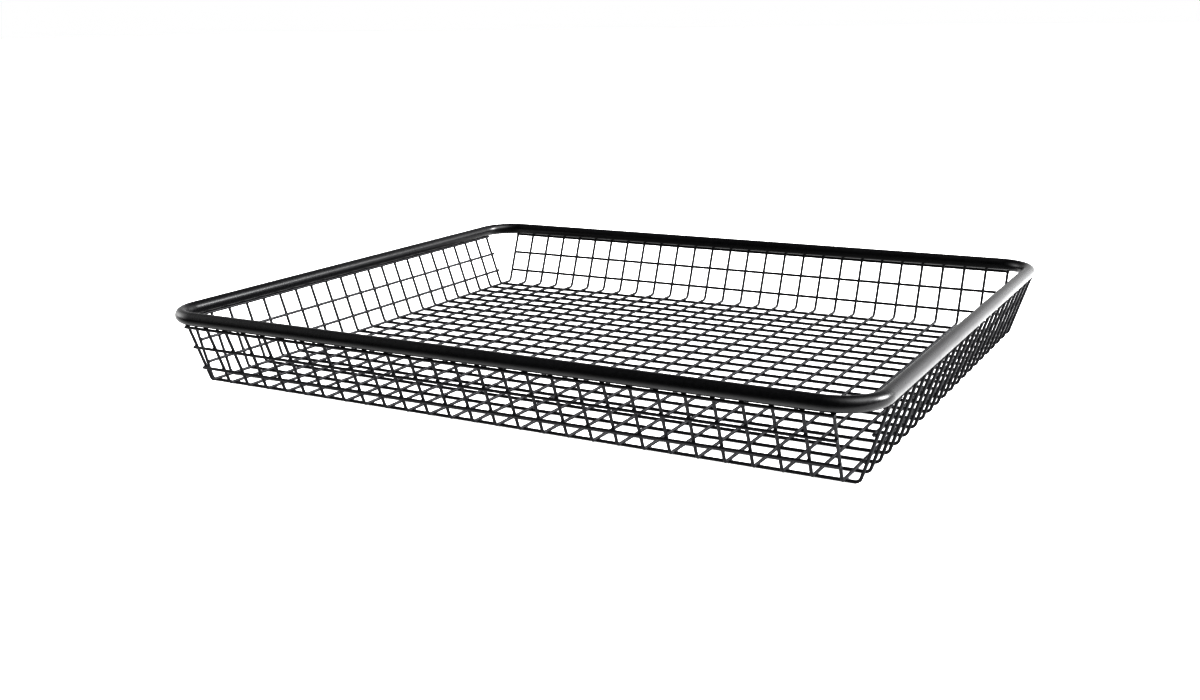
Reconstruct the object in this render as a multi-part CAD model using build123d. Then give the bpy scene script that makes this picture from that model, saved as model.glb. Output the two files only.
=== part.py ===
from build123d import *
import math
import os

# Shallow welded wire tray: a mesh of round wires with four leaning walls,
# carried by a bent tube that runs round the top as a rim.
# Millimetres. X runs along the long front side, Y towards the back, Z up.
# The origin is on the ground, under the middle of the rim.

# --- rim tube ---
RIM_WIDTH = 554.0            # over the outside of the tube, along X
RIM_DEPTH = 470.0            # over the outside of the tube, along Y
OVERALL_HEIGHT = 60.3        # underside of the floor to the top of the rim
RIM_DIAMETER = 10.2          # over the powder coat
RIM_WALL = 1.0               # thickness of the tube's steel
RIM_CORNER_RADIUS = 29.0     # of the tube's centreline
SEAM_GAP = 1.2               # between the tube's two ends, filled by the weld

# --- mesh ---
WIRE_DIAMETER = 2.1          # over the powder coat
BEND_RADIUS = 4.0            # of a wire's centreline where floor turns into wall
CROSS_COUNT = 28             # wires that run front to back, inside the long wires
CROSS_PITCH = 18.5
LONG_COUNT = 22              # wires that run left to right, underneath
LONG_PITCH = 19.32
LEFT_MARGIN = 22.4           # rim centreline to the first cross wire
FRONT_MARGIN = 27.7          # rim centreline to the first long wire

# --- walls: where each starts, beyond the outermost floor wire, and its lean ---
FRONT_FOLD = 8.2
BACK_FOLD = 6.7
LEFT_FOLD = 7.5
RIGHT_FOLD = 7.9
FRONT_LEAN = 22.1            # degrees away from upright
BACK_LEAN = 21.4
LEFT_LEAN = 18.6
RIGHT_LEAN = 17.9
FRONT_RAILS = (12.9, 31.9)   # up each wall, from the fold to its lower two rails
BACK_RAILS = (12.4, 31.2)
SIDE_RAILS = (13.7, 31.5)
FRONT_TOP_GAP = 0.4          # between the front wall's top rail and the rim above it
RIM_CLEARANCE = 0.05         # between the rim and the wires that reach it

# --- rails: how far each end runs past the centreline of the last upright wire ---
FRONT_RAIL_ENDS = (1.3, 1.1)        # left, right
BACK_RAIL_ENDS = (1.1, 1.1)
LEFT_RAIL_ENDS = (1.4, 1.2)         # front, back
RIGHT_RAIL_ENDS = (1.9, 1.9)

# --- worked out from the above ---
rim_radius = RIM_DIAMETER / 2
wire_radius = WIRE_DIAMETER / 2
rim_x = RIM_WIDTH / 2 - rim_radius
rim_y = RIM_DEPTH / 2 - rim_radius
rim_z = OVERALL_HEIGHT - rim_radius
long_z = wire_radius                      # long wires are the lower, outer layer
cross_z = wire_radius + WIRE_DIAMETER     # cross wires rest on them
cross_x = [LEFT_MARGIN - rim_x + i * CROSS_PITCH for i in range(CROSS_COUNT)]
long_y = [FRONT_MARGIN - rim_y + j * LONG_PITCH for j in range(LONG_COUNT)]
front_fold_y = long_y[0] - FRONT_FOLD
back_fold_y = long_y[-1] + BACK_FOLD
left_fold_x = cross_x[0] - LEFT_FOLD
right_fold_x = cross_x[-1] + RIGHT_FOLD


class Wall:
    """One leaning wall, seen in its section: distance from the tray's middle against height."""

    def __init__(self, fold, foot_z, rim, lean, sign):
        self.fold = abs(fold)
        self.foot_z = foot_z
        self.rim = rim
        self.outward = math.sin(math.radians(lean))
        self.upward = math.cos(math.radians(lean))
        self.sign = sign

    def foot(self):
        return self.sign * self.fold, self.foot_z

    def rim_centre(self, inset):
        """The rim's centreline: how far up the wall from the fold, and how far outwards of it."""
        out = self.rim - inset - self.fold
        up = rim_z - self.foot_z
        return out * self.outward + up * self.upward, out * self.upward - up * self.outward

    def tip(self, inset):
        """The end of an upright wire, where its flat end just reaches the underside of the rim."""
        along, aside = self.rim_centre(inset)
        beyond_wire = max(abs(aside) - wire_radius, 0)
        length = along - math.sqrt((rim_radius + RIM_CLEARANCE) ** 2 - beyond_wire ** 2)
        return self.sign * (self.fold + length * self.outward), self.foot_z + length * self.upward

    def top_rail(self, shift, gap):
        """How far up the wall the top rail lies, so that it leaves this gap under the rim."""
        along, aside = self.rim_centre(0)
        reach = rim_radius + gap + wire_radius
        return along - math.sqrt(reach ** 2 - (aside - shift) ** 2)

    def rail_centre(self, climb, shift):
        """A rail beside the upright wires, shifted square to the wall, outwards if positive."""
        out = self.fold + climb * self.outward + shift * self.upward
        return self.sign * out, self.foot_z + climb * self.upward - shift * self.outward


def rim_inset(position, half_length):
    """How far the rim's centreline has turned inwards, beside a wire that is under its corner."""
    past = abs(position) - (half_length - RIM_CORNER_RADIUS)
    if past <= 0:
        return 0
    return RIM_CORNER_RADIUS - math.sqrt(RIM_CORNER_RADIUS ** 2 - past ** 2)


front = Wall(front_fold_y, cross_z, rim_y, FRONT_LEAN, -1)
back = Wall(back_fold_y, cross_z, rim_y, BACK_LEAN, 1)
left = Wall(left_fold_x, long_z, rim_x, LEFT_LEAN, -1)
right = Wall(right_fold_x, long_z, rim_x, RIGHT_LEAN, 1)


def bent_wire(points):
    """A round wire along straight runs joined by bends."""
    path = FilletPolyline(*points, radius=BEND_RADIUS)
    start = Plane(origin=path @ 0, z_dir=path % 0)
    return sweep(start * Circle(wire_radius), path=path)


def straight_wire(start, end):
    run = Vector(*end) - Vector(*start)
    return extrude(Plane(origin=start, z_dir=run) * Circle(wire_radius), amount=run.length)


def cross_wire(x):
    """Up the front wall, over the floor's long wires and up the back wall."""
    inset = rim_inset(x, rim_x)
    section = [front.tip(inset), front.foot(), back.foot(), back.tip(inset)]
    return bent_wire([(x, y, z) for y, z in section])


def long_wire(y):
    """Up the left wall, under the floor and up the right wall."""
    inset = rim_inset(y, rim_y)
    section = [left.tip(inset), left.foot(), right.foot(), right.tip(inset)]
    return bent_wire([(x, y, z) for x, z in section])


def rails_along_x(wall, climbs, top_gap, ends):
    """Three rails on the outer side of the front or back wall's upright wires."""
    rails = []
    for climb in (*climbs, wall.top_rail(WIRE_DIAMETER, top_gap)):
        y, z = wall.rail_centre(climb, WIRE_DIAMETER)
        start = (cross_x[0] - ends[0], y, z)
        end = (cross_x[-1] + ends[1], y, z)
        rails.append(straight_wire(start, end))
    return Compound(children=rails)


def rails_along_y(wall, ends):
    """Three rails on the inner side of the left or right wall's upright wires."""
    rails = []
    for climb in (*SIDE_RAILS, wall.top_rail(-WIRE_DIAMETER, RIM_CLEARANCE)):
        x, z = wall.rail_centre(climb, -WIRE_DIAMETER)
        start = (x, long_y[0] - ends[0], z)
        end = (x, long_y[-1] + ends[1], z)
        rails.append(straight_wire(start, end))
    return Compound(children=rails)


def tube_section():
    return Circle(rim_radius) - Circle(rim_radius - RIM_WALL)


def rim_tube():
    """One tube bent round four corners, its two ends meeting in the middle of the back."""
    seam = SEAM_GAP / 2
    corners = [(rim_x, rim_y), (rim_x, -rim_y), (-rim_x, -rim_y), (-rim_x, rim_y)]
    outline = [(seam, rim_y)] + corners + [(-seam, rim_y)]
    path = FilletPolyline(*[(x, y, rim_z) for x, y in outline], radius=RIM_CORNER_RADIUS)
    start = Plane(origin=path @ 0, z_dir=path % 0)
    return sweep(start * tube_section(), path=path)


def rim_seam_weld():
    """The butt weld that joins the tube's two ends, ground flush."""
    start = Plane(origin=(-SEAM_GAP / 2, rim_y, rim_z), z_dir=(1, 0, 0))
    return extrude(start * tube_section(), amount=SEAM_GAP)


def write(name, shape):
    export_step(shape, os.path.join("parts", name + ".step"))


os.makedirs("parts", exist_ok=True)
write("rim_tube", rim_tube())
write("rim_seam_weld", rim_seam_weld())
for number, x in enumerate(cross_x, start=1):
    write(f"cross_wire_{number:02d}", cross_wire(x))
for number, y in enumerate(long_y, start=1):
    write(f"long_wire_{number:02d}", long_wire(y))
write("front_rails", rails_along_x(front, FRONT_RAILS, FRONT_TOP_GAP, FRONT_RAIL_ENDS))
write("back_rails", rails_along_x(back, BACK_RAILS, RIM_CLEARANCE, BACK_RAIL_ENDS))
write("left_rails", rails_along_y(left, LEFT_RAIL_ENDS))
write("right_rails", rails_along_y(right, RIGHT_RAIL_ENDS))
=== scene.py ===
import math
import random

import bpy
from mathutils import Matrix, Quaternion, Vector


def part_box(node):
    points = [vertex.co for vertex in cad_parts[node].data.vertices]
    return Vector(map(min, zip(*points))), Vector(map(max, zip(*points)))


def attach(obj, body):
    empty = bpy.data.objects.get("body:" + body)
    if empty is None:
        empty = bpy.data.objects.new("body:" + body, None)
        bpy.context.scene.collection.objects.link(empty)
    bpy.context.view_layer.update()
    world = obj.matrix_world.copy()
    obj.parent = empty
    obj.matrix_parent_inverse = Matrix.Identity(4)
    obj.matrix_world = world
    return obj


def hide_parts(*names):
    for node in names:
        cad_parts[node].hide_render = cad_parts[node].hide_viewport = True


# A shallow welded wire tray in satin black powder coat.
# Metres. X runs along the long front side, Y towards the back, Z up, as in the CAD frame.
# Every CAD node is replaced by a finer coated skin of the same size in the same place,
# and the welds that join the wires to each other and to the rim are added.

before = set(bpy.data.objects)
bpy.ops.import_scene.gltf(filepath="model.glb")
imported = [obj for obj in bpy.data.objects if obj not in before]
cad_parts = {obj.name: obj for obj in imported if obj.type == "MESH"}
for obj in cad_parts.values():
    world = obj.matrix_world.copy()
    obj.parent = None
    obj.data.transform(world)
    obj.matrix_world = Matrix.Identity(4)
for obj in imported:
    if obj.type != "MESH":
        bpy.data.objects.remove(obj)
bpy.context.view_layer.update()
scene = bpy.context.scene

# --- sizes that the CAD model is driven by ---
MM = 0.001
WIRE_DIAMETER = 2.1 * MM
BEND_RADIUS = 4.0 * MM
RIM_CORNER_RADIUS = 29.0 * MM
RIM_WALL = 1.0 * MM
SEAM_GAP = 1.2 * MM
FRONT_FOLD = 8.2 * MM
BACK_FOLD = 6.7 * MM
LEFT_FOLD = 7.5 * MM
RIGHT_FOLD = 7.9 * MM
FRONT_LEAN = 22.1                     # degrees away from upright
BACK_LEAN = 21.4
LEFT_LEAN = 18.6
RIGHT_LEAN = 17.9
FRONT_RAILS = (12.9 * MM, 31.9 * MM)  # the lower two; the top one is set by the rim
BACK_RAILS = (12.4 * MM, 31.2 * MM)
SIDE_RAILS = (13.7 * MM, 31.5 * MM)
FRONT_TOP_GAP = 0.4 * MM
RIM_CLEARANCE = 0.05 * MM

# --- fineness of the skins ---
WIRE_SIDES = 20
RIM_SIDES = 64
BEND_STEPS = 14
CORNER_STEPS = 48
RUN_STEP = 18.5 * MM

# --- places, read from the frame ---
rim_lo, rim_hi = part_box("rim_tube")
wire_radius = WIRE_DIAMETER / 2
rim_radius = (rim_hi.z - rim_lo.z) / 2
rim_x = rim_hi.x - rim_radius
rim_y = rim_hi.y - rim_radius
rim_z = rim_hi.z - rim_radius


def node_names(start):
    return sorted(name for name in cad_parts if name.startswith(start))


def middle(node):
    lo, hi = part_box(node)
    return (lo + hi) / 2


cross_names = node_names("cross_wire_")
long_names = node_names("long_wire_")
cross_x = [middle(name).x for name in cross_names]
long_y = [middle(name).y for name in long_names]
long_z = wire_radius
cross_z = wire_radius + WIRE_DIAMETER


class Wall:
    """One leaning wall, seen in its section: distance from the tray's middle against height."""

    def __init__(self, fold, foot_z, rim, lean, sign):
        self.fold = abs(fold)
        self.foot_z = foot_z
        self.rim = rim
        self.outward = math.sin(math.radians(lean))
        self.upward = math.cos(math.radians(lean))
        self.sign = sign

    def foot(self):
        return self.sign * self.fold, self.foot_z

    def rim_centre(self, inset):
        """The rim's centreline: how far up the wall from the fold, and how far outwards of it."""
        out = self.rim - inset - self.fold
        up = rim_z - self.foot_z
        return out * self.outward + up * self.upward, out * self.upward - up * self.outward

    def tip(self, inset, short=0.0):
        """The end of an upright wire under the rim, or a point that far short of it."""
        along, aside = self.rim_centre(inset)
        beyond_wire = max(abs(aside) - wire_radius, 0)
        length = along - math.sqrt(rim_radius ** 2 - beyond_wire ** 2) - short
        return self.sign * (self.fold + length * self.outward), self.foot_z + length * self.upward

    def top_rail(self, shift, gap):
        """How far up the wall the top rail lies, so that it leaves this gap under the rim."""
        along, aside = self.rim_centre(0)
        reach = rim_radius + gap + wire_radius
        return along - math.sqrt(reach ** 2 - (aside - shift) ** 2)

    def beside(self, climb, shift):
        """A point beside the upright wires, shifted square to the wall, outwards if positive."""
        out = self.fold + climb * self.outward + shift * self.upward
        return self.sign * out, self.foot_z + climb * self.upward - shift * self.outward


def rim_inset(position, half_length):
    """How far the rim's centreline has turned inwards, beside a wire that is under its corner."""
    past = abs(position) - (half_length - RIM_CORNER_RADIUS)
    if past <= 0:
        return 0
    return RIM_CORNER_RADIUS - math.sqrt(RIM_CORNER_RADIUS ** 2 - past ** 2)


front = Wall(long_y[0] - FRONT_FOLD, cross_z, rim_y, FRONT_LEAN, -1)
back = Wall(long_y[-1] + BACK_FOLD, cross_z, rim_y, BACK_LEAN, 1)
left = Wall(cross_x[0] - LEFT_FOLD, long_z, rim_x, LEFT_LEAN, -1)
right = Wall(cross_x[-1] + RIGHT_FOLD, long_z, rim_x, RIGHT_LEAN, 1)


# ---------------------------------------------------------------- materials

def node(tree, kind, **settings):
    made = tree.nodes.new(kind)
    for key, value in settings.items():
        setattr(made, key, value)
    return made


def noise(tree, coordinates, scale, detail):
    made = node(tree, "ShaderNodeTexNoise")
    made.inputs["Scale"].default_value = scale
    made.inputs["Detail"].default_value = detail
    tree.links.new(coordinates, made.inputs["Vector"])
    return made.outputs["Fac"]


def remap(tree, value, from_low, from_high, to_low, to_high):
    made = node(tree, "ShaderNodeMapRange")
    made.inputs["From Min"].default_value = from_low
    made.inputs["From Max"].default_value = from_high
    made.inputs["To Min"].default_value = to_low
    made.inputs["To Max"].default_value = to_high
    tree.links.new(value, made.inputs["Value"])
    return made.outputs["Result"]


def combine(tree, operation, first, second):
    made = node(tree, "ShaderNodeMath", operation=operation)
    for socket, value in zip(made.inputs, (first, second)):
        if isinstance(value, float):
            socket.default_value = value
        else:
            tree.links.new(value, socket)
    return made.outputs["Value"]


def bump(tree, height, distance, strength, under=None):
    made = node(tree, "ShaderNodeBump")
    made.inputs["Strength"].default_value = strength
    made.inputs["Distance"].default_value = distance
    tree.links.new(height, made.inputs["Height"])
    if under is not None:
        tree.links.new(under, made.inputs["Normal"])
    return made.outputs["Normal"]


PATCH_SCALE = 11.0                    # broad patches of more and less gloss, per metre
FLECK_SCALE = 420.0                   # fine flecks of the powder
GRAIN_SCALE = 5                       # how much finer the grain is than the orange peel
GRAIN_DEPTH = 0.15                    # and how much shallower
COAT_IOR = 1.5
TOP_FACING = (0.55, 1.0)              # upward part of the normal, from no painted top sheen to the most painted top sheen
TOP_SHEEN_PATCHES = (0.42, 0.68)         # what of the patches gets the painted sheen on top
FLECKS = (0.35, 0.7)                  # what of the flecks shows in the colour
TOP_SHEEN_GLOSS = 0.04                   # how much smoother the coat is where the painted top sheen lies


def powder_coat(name, dark, pale, smooth, rough, peel_scale, peel_depth):
    """Satin black powder coat: orange peel, a fine grain, and a painted sheen that makes upward-facing
    surfaces paler in patches.
    """
    material = bpy.data.materials.new(name)
    material.use_nodes = True
    tree = material.node_tree
    shader = tree.nodes["Principled BSDF"]
    where = node(tree, "ShaderNodeTexCoord").outputs["Object"]

    patches = noise(tree, where, PATCH_SCALE, 4.0)
    flecks = noise(tree, where, FLECK_SCALE, 3.0)
    facing = node(tree, "ShaderNodeSeparateXYZ")
    tree.links.new(node(tree, "ShaderNodeNewGeometry").outputs["Normal"], facing.inputs[0])
    # painted sheen: upward-facing surfaces, in patches, get a paler colour and a slightly smoother gloss
    on_top = remap(tree, facing.outputs["Z"], *TOP_FACING, 0.0, 1.0)
    top_sheen = combine(tree, "MULTIPLY", on_top, remap(tree, patches, *TOP_SHEEN_PATCHES, 0.0, 1.0))

    # the pale colour is the tone of the random powder flecks and of the painted top sheen
    colour = node(tree, "ShaderNodeMix", data_type="RGBA")
    colour.inputs["A"].default_value = (*dark, 1)
    colour.inputs["B"].default_value = (*pale, 1)
    shade = combine(tree, "MULTIPLY", remap(tree, flecks, *FLECKS, 0.0, 1.0), 0.5)
    shade = combine(tree, "ADD", shade, combine(tree, "MULTIPLY", top_sheen, 0.5))
    tree.links.new(shade, colour.inputs["Factor"])
    tree.links.new(colour.outputs["Result"], shader.inputs["Base Color"])

    gloss = remap(tree, patches, 0.3, 0.7, smooth, rough)
    gloss = combine(tree, "ADD", gloss, remap(tree, flecks, 0.3, 0.7, -0.02, 0.03))
    gloss = combine(tree, "SUBTRACT", gloss, combine(tree, "MULTIPLY", top_sheen, TOP_SHEEN_GLOSS))
    tree.links.new(gloss, shader.inputs["Roughness"])

    peel = bump(tree, noise(tree, where, peel_scale, 2.0), peel_depth, 0.6)
    powder = noise(tree, where, peel_scale * GRAIN_SCALE, 1.0)
    grain = bump(tree, powder, peel_depth * GRAIN_DEPTH, 0.5, peel)
    tree.links.new(grain, shader.inputs["Normal"])
    shader.inputs["IOR"].default_value = COAT_IOR
    return material


rim_coat = powder_coat(
    "rim_powder_coat",
    dark=(0.006, 0.006, 0.007),
    pale=(0.016, 0.016, 0.018),
    smooth=0.25,
    rough=0.32,
    peel_scale=620.0,
    peel_depth=0.05 * MM,
)
wire_coat = powder_coat(
    "wire_powder_coat",
    dark=(0.010, 0.010, 0.013),
    pale=(0.022, 0.022, 0.027),
    smooth=0.40,
    rough=0.50,
    peel_scale=900.0,
    peel_depth=0.03 * MM,
)


# ---------------------------------------------------------------- mesh tools

SHARP_EDGE = math.radians(42)         # an edge that turns more than this isn't smoothed over


class Skin:
    """Points and faces of one piece, gathered from rings."""

    def __init__(self):
        self.points = []
        self.faces = []

    def add_rings(self, rings, loop=False):
        """Joins rings of the same length side by side, and closes both ends unless they loop."""
        first = len(self.points)
        sides = len(rings[0])
        for ring in rings:
            self.points.extend(ring)
        spans = len(rings) if loop else len(rings) - 1
        for span in range(spans):
            here = first + span * sides
            there = first + (span + 1) % len(rings) * sides
            for side in range(sides):
                after = (side + 1) % sides
                self.faces.append((here + side, here + after, there + after, there + side))
        if not loop:
            last = first + spans * sides
            self.faces.append(tuple(reversed(range(first, first + sides))))
            self.faces.append(tuple(range(last, last + sides)))

    def piece(self, name, material, slot, *nodes):
        mesh = bpy.data.meshes.new(name)
        mesh.from_pydata(self.points, [], self.faces)
        mesh.shade_smooth()
        mesh.set_sharp_from_angle(angle=SHARP_EDGE)
        mesh.materials.append(material)
        made = bpy.data.objects.new(name, mesh)
        scene.collection.objects.link(made)
        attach(made, "root")
        if nodes:
            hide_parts(*nodes)
        return made


def rounded_path(corners, radius, steps, run_step):
    """Points along straight runs and arcs, as (point, direction) pairs."""
    path = []
    here = corners[0]
    for before, corner, after in zip(corners, corners[1:], corners[2:]):
        way_in = (corner - before).normalized()
        way_out = (after - corner).normalized()
        turn = way_in.angle(way_out)
        reach = radius * math.tan(turn / 2)
        path += straight_run(here, corner - way_in * reach, way_in, run_step)
        inner = (way_out - way_in).normalized()
        centre = corner + inner * (radius / math.cos(turn / 2))
        axis = way_in.cross(way_out).normalized()
        spoke = corner - way_in * reach - centre
        for step in range(1, steps):
            rotation = Quaternion(axis, turn * step / steps)
            path.append((centre + rotation @ spoke, rotation @ way_in))
        here = corner + way_out * reach
    way = (corners[-1] - here).normalized()
    return path + straight_run(here, corners[-1], way, run_step)


def straight_run(start, end, way, run_step):
    count = max(1, round((end - start).length / run_step))
    return [(start.lerp(end, step / count), way) for step in range(count + 1)]


def ring(centre, way, side, radius, count):
    """A round section: side is a direction square to the path that stays the same all along it."""
    up = way.cross(side)
    turns = [2 * math.pi * step / count for step in range(count)]
    return [centre + (side * math.cos(t) + up * math.sin(t)) * radius for t in turns]


COAT_EDGE = 0.35 * MM                 # how far the coat rounds off a cut wire's edge
COAT_STEPS = (0.0, 0.25, 0.6, 1.0)


def wire_rings(path, side):
    """Rings of a wire whose cut ends are rounded off by the coat."""
    rings = []
    start, way = path[0]
    for share in COAT_STEPS:
        radius = wire_radius - COAT_EDGE * (1 - math.sqrt(share * (2 - share)))
        rings.append(ring(start + way * COAT_EDGE * share, way, side, radius, WIRE_SIDES))
    rings += [ring(point, way, side, wire_radius, WIRE_SIDES) for point, way in path[1:-1]]
    end, way = path[-1]
    for share in reversed(COAT_STEPS):
        radius = wire_radius - COAT_EDGE * (1 - math.sqrt(share * (2 - share)))
        rings.append(ring(end - way * COAT_EDGE * share, way, side, radius, WIRE_SIDES))
    return rings


# ---------------------------------------------------------------- wires

ALONG_X = Vector((1, 0, 0))
ALONG_Y = Vector((0, 1, 0))


def cross_point(x, section):
    return Vector((x, section[0], section[1]))


def long_point(y, section):
    return Vector((section[0], y, section[1]))


def wire_piece(name, corners, side):
    path = rounded_path(corners, BEND_RADIUS, BEND_STEPS, RUN_STEP)
    skin = Skin()
    skin.add_rings(wire_rings(path, side))
    skin.piece("coated_" + name, wire_coat, "wire_coat", name)


for name, x in zip(cross_names, cross_x):
    inset = rim_inset(x, rim_x)
    sections = (front.tip(inset), front.foot(), back.foot(), back.tip(inset))
    wire_piece(name, [cross_point(x, section) for section in sections], ALONG_X)

for name, y in zip(long_names, long_y):
    inset = rim_inset(y, rim_y)
    sections = (left.tip(inset), left.foot(), right.foot(), right.tip(inset))
    wire_piece(name, [long_point(y, section) for section in sections], ALONG_Y)


def rails(name, wall, point, reach, climbs, shift, side):
    """Three straight wires along a wall, on one side of its upright wires."""
    skin = Skin()
    for climb in climbs:
        section = wall.beside(climb, shift)
        start = point(reach[0], section)
        end = point(reach[1], section)
        path = straight_run(start, end, (end - start).normalized(), RUN_STEP)
        skin.add_rings(wire_rings(path, side))
    skin.piece("coated_" + name, wire_coat, "wire_coat", name)


def span(name, axis):
    """Where the CAD rails start and end along one axis."""
    lo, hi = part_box(name)
    return lo[axis], hi[axis]


OUTSIDE = WIRE_DIAMETER               # rails on the outer side of a wall's upright wires
INSIDE = -WIRE_DIAMETER
front_climbs = (*FRONT_RAILS, front.top_rail(OUTSIDE, FRONT_TOP_GAP))
back_climbs = (*BACK_RAILS, back.top_rail(OUTSIDE, RIM_CLEARANCE))
left_climbs = (*SIDE_RAILS, left.top_rail(INSIDE, RIM_CLEARANCE))
right_climbs = (*SIDE_RAILS, right.top_rail(INSIDE, RIM_CLEARANCE))
rails("front_rails", front, cross_point, span("front_rails", 0), front_climbs, OUTSIDE, ALONG_Y)
rails("back_rails", back, cross_point, span("back_rails", 0), back_climbs, OUTSIDE, ALONG_Y)
rails("left_rails", left, long_point, span("left_rails", 1), left_climbs, INSIDE, ALONG_X)
rails("right_rails", right, long_point, span("right_rails", 1), right_climbs, INSIDE, ALONG_X)


# ---------------------------------------------------------------- welds

WELD_REACH = 1.25 * MM                # from the middle of a crossing to the weld's edge
WELD_RISE = 0.6 * MM
WELD_SPREAD = (0.94, 1.08)            # how unevenly the welds come out
WELD_SIDES = 16
WELD_LAYERS = 7
draw = random.Random(7)


def weld_pillow(skin, centre, normal, along):
    """A small squarish blob of metal and coat between two crossed wires."""
    across = normal.cross(along)
    reach = WELD_REACH * draw.uniform(*WELD_SPREAD)
    rings = []
    for layer in range(WELD_LAYERS):
        lift = math.pi * (layer + 0.5) / WELD_LAYERS - math.pi / 2
        height = WELD_RISE * math.sin(lift)
        spread = reach * math.cos(lift)
        points = []
        for step in range(WELD_SIDES):
            turn = 2 * math.pi * step / WELD_SIDES
            c, s = math.cos(turn), math.sin(turn)
            square = spread / (c ** 4 + s ** 4) ** 0.25
            points.append(centre + normal * height + (along * c + across * s) * square)
        rings.append(points)
    skin.add_rings(rings)


def floor_welds():
    skin = Skin()
    for x in cross_x:
        for y in long_y:
            weld_pillow(skin, Vector((x, y, WIRE_DIAMETER)), Vector((0, 0, 1)), ALONG_X)
    skin.piece("floor_welds", wire_coat, "wire_coat")


def wall_welds(name, wall, point, positions, climbs, shift, along):
    skin = Skin()
    for climb in climbs:
        touch = wall.beside(climb, shift / 2)
        rail = wall.beside(climb, shift)
        for position in positions:
            centre = point(position, touch)
            normal = (point(position, rail) - centre).normalized()
            weld_pillow(skin, centre, normal, along)
    skin.piece(name, wire_coat, "wire_coat")


COLLAR_LENGTH = 2.4 * MM
COLLAR_SINK = 0.7 * MM                # how far the collar runs on into the rim's steel
COLLAR_FLARE = 0.85 * MM
COLLAR_SPREAD = (0.85, 1.1)
COLLAR_SKIN = 0.02 * MM               # how far the collar stands off the wire at its thin end
COLLAR_STEPS = 7


def rim_welds(name, wall, point, positions, half_length, side):
    """A flared collar where each upright wire is welded to the underside of the rim."""
    skin = Skin()
    for position in positions:
        inset = rim_inset(position, half_length)
        base = point(position, wall.tip(inset, COLLAR_LENGTH))
        way = (point(position, wall.tip(inset)) - base).normalized()
        flare = COLLAR_FLARE * draw.uniform(*COLLAR_SPREAD)
        rings = []
        for step in range(COLLAR_STEPS + 1):
            share = step / COLLAR_STEPS
            radius = wire_radius + COLLAR_SKIN + flare * share ** 3
            distance = (COLLAR_LENGTH + COLLAR_SINK) * share
            rings.append(ring(base + way * distance, way, side, radius, WIRE_SIDES))
        skin.add_rings(rings)
    skin.piece(name, wire_coat, "wire_coat")


floor_welds()
wall_welds("front_wall_welds", front, cross_point, cross_x, front_climbs, OUTSIDE, ALONG_X)
wall_welds("back_wall_welds", back, cross_point, cross_x, back_climbs, OUTSIDE, ALONG_X)
wall_welds("left_wall_welds", left, long_point, long_y, left_climbs, INSIDE, ALONG_Y)
wall_welds("right_wall_welds", right, long_point, long_y, right_climbs, INSIDE, ALONG_Y)
rim_welds("front_rim_welds", front, cross_point, cross_x, rim_x, ALONG_X)
rim_welds("back_rim_welds", back, cross_point, cross_x, rim_x, ALONG_X)
rim_welds("left_rim_welds", left, long_point, long_y, rim_y, ALONG_Y)
rim_welds("right_rim_welds", right, long_point, long_y, rim_y, ALONG_Y)


# ---------------------------------------------------------------- rim

SEAM_EDGE = 0.03 * MM                 # bevel at the tube's two cut ends
CROWN = (                             # across the weld: share of its half width, drop in mm
    (-1.0, 0.03), (-0.6, 0.01), (-0.2, 0.0), (0.2, 0.0), (0.6, 0.01), (1.0, 0.03)
)
UPRIGHT = Vector((0, 0, 1))


def tube_shell(path, end_radius, outer_radius, inner_radius):
    """Rings over the outside of a tube and back along its bore."""
    outer = [ring(point, way, UPRIGHT, outer_radius, RIM_SIDES) for point, way in path]
    outer[0] = ring(*path[0], UPRIGHT, end_radius, RIM_SIDES)
    outer[-1] = ring(*path[-1], UPRIGHT, end_radius, RIM_SIDES)
    bore = [ring(point, way, UPRIGHT, inner_radius, RIM_SIDES) for point, way in path]
    return outer + bore[::-1]


def rim_tube():
    seam = SEAM_GAP / 2
    outline = [
        (seam, rim_y), (rim_x, rim_y), (rim_x, -rim_y), (-rim_x, -rim_y), (-rim_x, rim_y), (-seam, rim_y)
    ]
    corners = [Vector((x, y, rim_z)) for x, y in outline]
    path = rounded_path(corners, RIM_CORNER_RADIUS, CORNER_STEPS, RUN_STEP)
    path.insert(1, (corners[0] + ALONG_X * SEAM_EDGE, ALONG_X))
    path.insert(-1, (corners[-1] - ALONG_X * SEAM_EDGE, ALONG_X))
    skin = Skin()
    skin.add_rings(tube_shell(path, rim_radius - SEAM_EDGE, rim_radius, rim_radius - RIM_WALL), loop=True)
    skin.piece("coated_rim_tube", rim_coat, "rim_coat", "rim_tube")


def rim_seam_weld():
    """The butt weld, ground flush: a shallow crown between the tube's bevelled ends."""
    outer = []
    bore = []
    for share, drop in CROWN:
        centre = Vector((share * SEAM_GAP / 2, rim_y, rim_z))
        outer.append(ring(centre, ALONG_X, UPRIGHT, rim_radius - drop * MM, RIM_SIDES))
        bore.append(ring(centre, ALONG_X, UPRIGHT, rim_radius - RIM_WALL, RIM_SIDES))
    skin = Skin()
    skin.add_rings(outer + bore[::-1], loop=True)
    skin.piece("coated_rim_seam_weld", rim_coat, "rim_coat", "rim_seam_weld")


rim_tube()
rim_seam_weld()


# ---------------------------------------------------------------- stage

GLOW_FRONT = 0.27                     # in front of this line the floor's light fades
GLOW_FADE = 5.0                       # as this power of the distance
GLOW = (2.2, 3.7)                     # at the left, and at the right
GLOW_SPAN = (-0.1, 0.35)              # where along X it starts and stops growing
SHADE_UNDER_TRAY = 0.25               # share of that light left under the mesh
MESH_EDGE_X = (0.25, 0.29)            # from under the mesh to clear of it, on either side
MESH_EDGE_Y = (0.20, 0.24)
FLOOR_SIZE = 60.0
FLOOR_DROP = 0.2 * MM                 # below the tray's underside
FLOOR_GREY = 0.8
FLOOR_LIFT = 0.8                      # light of its own that the camera sees


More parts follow.
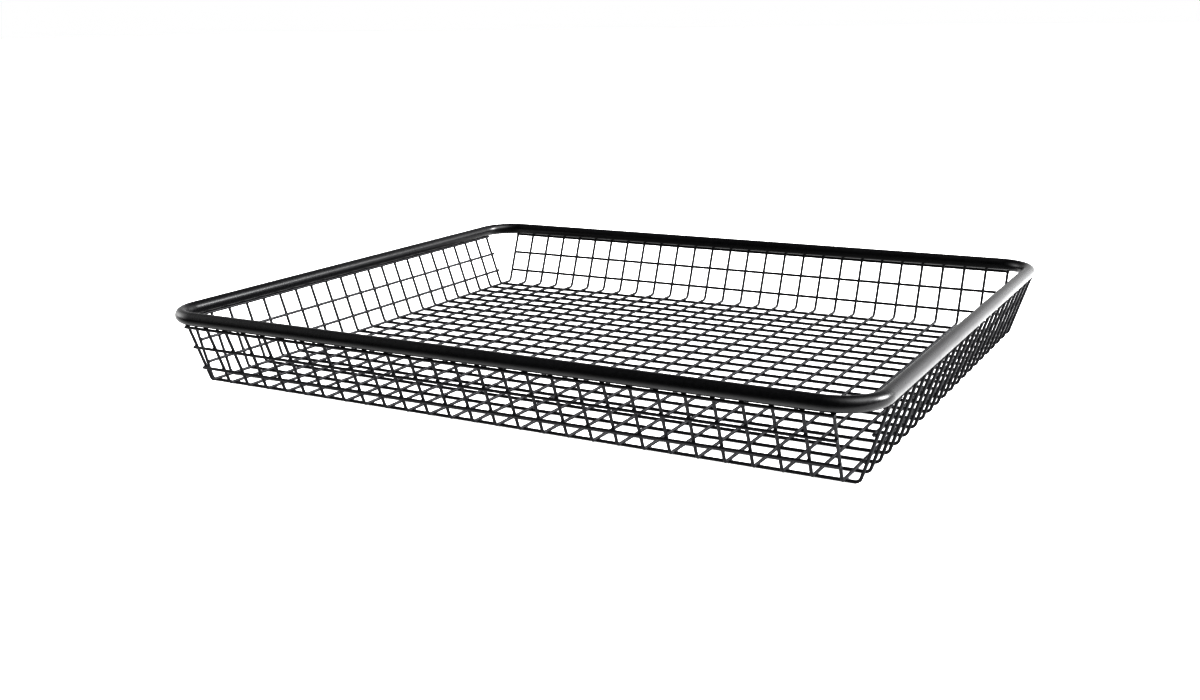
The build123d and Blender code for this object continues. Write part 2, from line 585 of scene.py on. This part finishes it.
def floor_glow(tree):
    """The floor's light on the tray: dimmer under the mesh, and fading towards the viewer."""
    place = node(tree, "ShaderNodeSeparateXYZ")
    tree.links.new(node(tree, "ShaderNodeTexCoord").outputs["Object"], place.inputs[0])
    ahead = combine(tree, "MULTIPLY", place.outputs["Y"], -1.0)
    fading = combine(tree, "DIVIDE", GLOW_FRONT, combine(tree, "MAXIMUM", ahead, GLOW_FRONT))
    fading = combine(tree, "POWER", fading, GLOW_FADE)
    aside = combine(tree, "ABSOLUTE", place.outputs["X"], 0.0)
    along = combine(tree, "ABSOLUTE", place.outputs["Y"], 0.0)
    beyond_x = remap(tree, aside, *MESH_EDGE_X, SHADE_UNDER_TRAY, 1.0)
    beyond_y = remap(tree, along, *MESH_EDGE_Y, SHADE_UNDER_TRAY, 1.0)
    under = combine(tree, "MAXIMUM", beyond_x, beyond_y)
    glow = remap(tree, place.outputs["X"], *GLOW_SPAN, *GLOW)
    return combine(tree, "MULTIPLY", combine(tree, "MULTIPLY", fading, under), glow)


def floor():
    """A white studio floor that glows a little, so that shadows on it stay faint."""
    bpy.ops.mesh.primitive_plane_add(size=FLOOR_SIZE, location=(0, 0, -FLOOR_DROP))
    plane = bpy.context.object
    plane.name = "floor"
    material = bpy.data.materials.new("floor_white")
    material.use_nodes = True
    tree = material.node_tree
    shader = tree.nodes["Principled BSDF"]
    shader.inputs["Base Color"].default_value = (FLOOR_GREY, FLOOR_GREY, FLOOR_GREY, 1)
    shader.inputs["Roughness"].default_value = 0.9
    shader.inputs["Specular IOR Level"].default_value = 0.0
    shader.inputs["Emission Color"].default_value = (1, 1, 1, 1)
    shader.inputs["Emission Strength"].default_value = FLOOR_LIFT

    glow = node(tree, "ShaderNodeEmission")
    tree.links.new(floor_glow(tree), glow.inputs["Strength"])
    which = node(tree, "ShaderNodeMixShader")
    tree.links.new(node(tree, "ShaderNodeLightPath").outputs["Is Camera Ray"], which.inputs[0])
    tree.links.new(glow.outputs[0], which.inputs[1])
    tree.links.new(shader.outputs[0], which.inputs[2])
    tree.links.new(which.outputs[0], tree.nodes["Material Output"].inputs["Surface"])
    plane.data.materials.append(material)


GAMMA = 0.6                           # deepens the dark tones
DARKNESS = 0.01                       # what is left of the light between the windows
WINDOWS = (                           # direction of each one's middle, radiance, spread in degrees
    ((0.76, 0.48, 0.44), 46.0, 11.5),     # key, to the right and a little behind
    ((0.60, -0.05, 0.80), 9.0, 27.0),     # overhead, on the right
    ((0.26, 0.95, 0.10), 2.9, 27.0),      # backdrop, straight behind
    ((-0.65, 0.75, 0.05), 1.2, 25.0),     # backdrop, behind to the left
    ((-0.95, -0.10, 0.22), 6.0, 24.0),    # weak one to the left
)


def window(tree, direction, middle, radiance, spread):
    """A soft source that fades evenly from its middle."""
    facing = node(tree, "ShaderNodeVectorMath", operation="DOT_PRODUCT")
    facing.inputs[1].default_value = Vector(middle).normalized()
    tree.links.new(direction, facing.inputs[0])
    angle = combine(tree, "ARCCOSINE", facing.outputs["Value"], 0.0)
    share = combine(tree, "DIVIDE", angle, math.radians(spread))
    fading = combine(tree, "MULTIPLY", combine(tree, "POWER", share, 2.0), -1.0)
    return combine(tree, "MULTIPLY", combine(tree, "EXPONENT", fading, 0.0), radiance)


def studio():
    """White to the eye, and a dark room with soft windows to the tray."""
    world = bpy.data.worlds.new("studio")
    scene.world = world
    world.use_nodes = True
    tree = world.node_tree
    tree.nodes.clear()
    direction = node(tree, "ShaderNodeTexCoord").outputs["Generated"]
    light = window(tree, direction, *WINDOWS[0])
    for settings in WINDOWS[1:]:
        light = combine(tree, "ADD", light, window(tree, direction, *settings))
    room = node(tree, "ShaderNodeBackground")
    tree.links.new(combine(tree, "ADD", light, DARKNESS), room.inputs["Strength"])
    white = node(tree, "ShaderNodeBackground")
    white.inputs["Strength"].default_value = 1.0
    for background in (room, white):
        background.inputs["Color"].default_value = (1, 1, 1, 1)
    seen = node(tree, "ShaderNodeMixShader")
    tree.links.new(node(tree, "ShaderNodeLightPath").outputs["Is Camera Ray"], seen.inputs[0])
    tree.links.new(room.outputs[0], seen.inputs[1])
    tree.links.new(white.outputs[0], seen.inputs[2])
    out = node(tree, "ShaderNodeOutputWorld")
    tree.links.new(seen.outputs[0], out.inputs["Surface"])


floor()
studio()
scene.view_settings.view_transform = "Standard"
scene.view_settings.gamma = GAMMA


# ---------------------------------------------------------------- camera

CAMERA_PLACE = Vector((0.4684, -0.8900, 0.2650))
CAMERA_AZIMUTH = 29.09
CAMERA_ELEVATION = 14.47
CAMERA_ROLL = -0.91
CAMERA_LENS = 38.348
SENSOR_WIDTH = 36.0
CAMERA_CLIP = (0.01, 100.0)


def camera():
    data = bpy.data.cameras.new("camera")
    data.sensor_fit = "HORIZONTAL"
    data.sensor_width = SENSOR_WIDTH
    data.lens = CAMERA_LENS
    data.clip_start, data.clip_end = CAMERA_CLIP
    made = bpy.data.objects.new("camera", data)
    scene.collection.objects.link(made)
    azimuth = math.radians(CAMERA_AZIMUTH)
    elevation = math.radians(CAMERA_ELEVATION)
    ahead = Vector((
        -math.sin(azimuth) * math.cos(elevation),
        math.cos(azimuth) * math.cos(elevation),
        -math.sin(elevation),
    ))
    made.location = CAMERA_PLACE
    made.rotation_mode = "QUATERNION"
    roll = Quaternion((0, 0, 1), math.radians(CAMERA_ROLL))
    made.rotation_quaternion = ahead.to_track_quat("-Z", "Y") @ roll
    scene.camera = made


camera()
